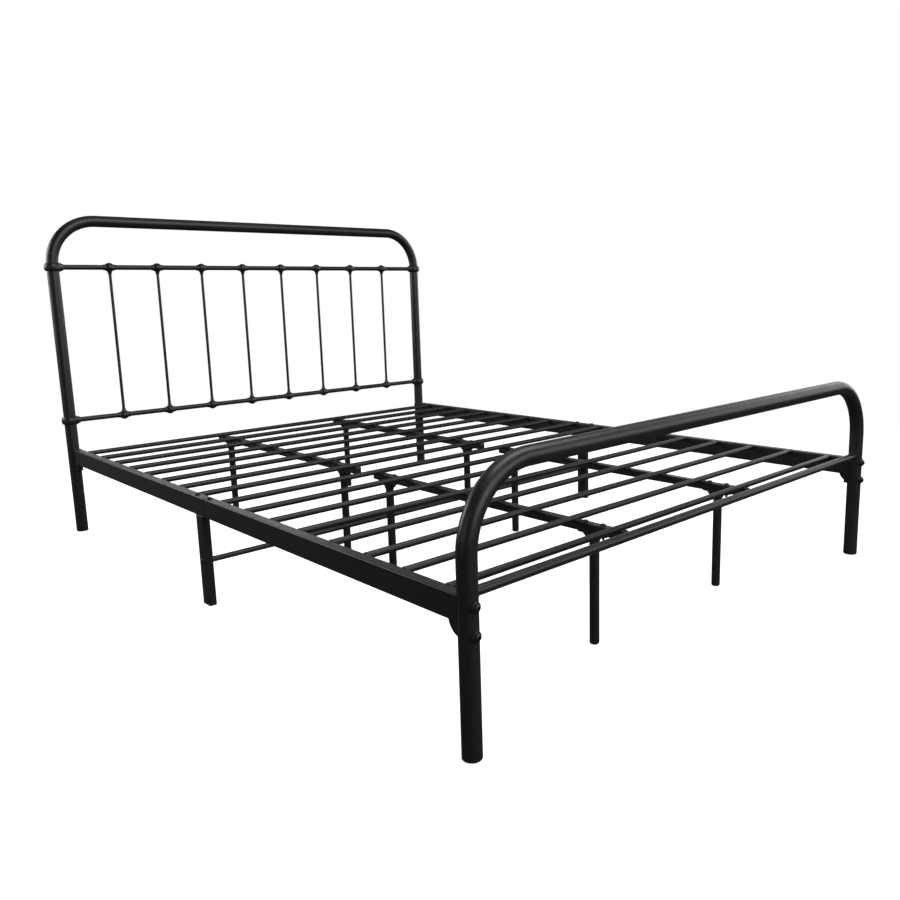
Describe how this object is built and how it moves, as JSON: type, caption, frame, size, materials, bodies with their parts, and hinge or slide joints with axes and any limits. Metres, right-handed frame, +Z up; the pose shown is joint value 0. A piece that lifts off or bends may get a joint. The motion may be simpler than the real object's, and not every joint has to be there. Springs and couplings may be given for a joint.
{
  "type": "bed frame",
  "caption": "Metal bed frame for a queen mattress: bent-tube headboard with spindles, low footboard hoop, side rails, slats and centre legs, bolted together.",
  "frame": {"origin": "on the floor, under the middle of the bed", "axes": "+Y along the bed towards the headboard, +Z up, +X towards the right side rail seen from the foot"},
  "size_m": [1.5934, 2.124, 1.094],
  "materials": {
    "frame_paint": "satin black powder coat on steel tube",
    "cast_paint": "satin black powder coat on smooth castings",
    "cap_plastic": "matte black moulded plastic",
    "plug_plastic": "smooth black moulded plastic",
    "black_fasteners": "black oxide steel"
  },
  "bodies": {
    "root": {"centre_leg_caps": "cap_plastic", "footboard_crossbar": "frame_paint", "footboard_hoop": "frame_paint", "frame_bolts": "black_fasteners", "headboard_hoop": "frame_paint", "headboard_lower_rail": "frame_paint", "headboard_spindle_1": "frame_paint", "headboard_spindle_2": "frame_paint", "headboard_spindle_3": "frame_paint", "headboard_spindle_4": "frame_paint", "headboard_spindle_5": "frame_paint", "headboard_spindle_6": "frame_paint", "headboard_spindle_7": "frame_paint", "headboard_spindle_8": "frame_paint", "headboard_upper_rail": "frame_paint", "left_centre_leg_1": "frame_paint", "left_centre_leg_2": "frame_paint", "left_centre_leg_3": "frame_paint", "left_centre_leg_4": "frame_paint", "left_centre_rail_foot": "frame_paint", "left_centre_rail_head": "frame_paint", "left_mid_leg": "frame_paint", "left_rail_foot_half": "frame_paint", "left_rail_head_half": "frame_paint", "leg_nuts": "black_fasteners", "mid_joint_sleeves": "frame_paint", "mid_leg_caps": "cap_plastic", "mid_stretcher": "frame_paint", "post_bolts": "black_fasteners", "post_collars": "cast_paint", "post_foot_caps": "cap_plastic", "post_washers": "black_fasteners", "rail_end_brackets": "frame_paint", "right_centre_leg_1": "frame_paint", "right_centre_leg_2": "frame_paint", "right_centre_leg_3": "frame_paint", "right_centre_leg_4": "frame_paint", "right_centre_rail_foot": "frame_paint", "right_centre_rail_head": "frame_paint", "right_mid_leg": "frame_paint", "right_rail_foot_half": "frame_paint", "right_rail_head_half": "frame_paint", "slat_01": "frame_paint", "slat_02": "frame_paint", "slat_03": "frame_paint", "slat_04": "frame_paint", "slat_05": "frame_paint", "slat_06": "frame_paint", "slat_07": "frame_paint", "slat_08": "frame_paint", "slat_09": "frame_paint", "slat_10": "frame_paint", "slat_11": "frame_paint", "slat_12": "frame_paint", "slat_13": "frame_paint", "slat_14": "frame_paint", "slat_15": "frame_paint", "slat_16": "frame_paint", "slat_end_plugs": "plug_plastic", "spindle_knuckles": "cast_paint"}
  },
  "joints": []
}
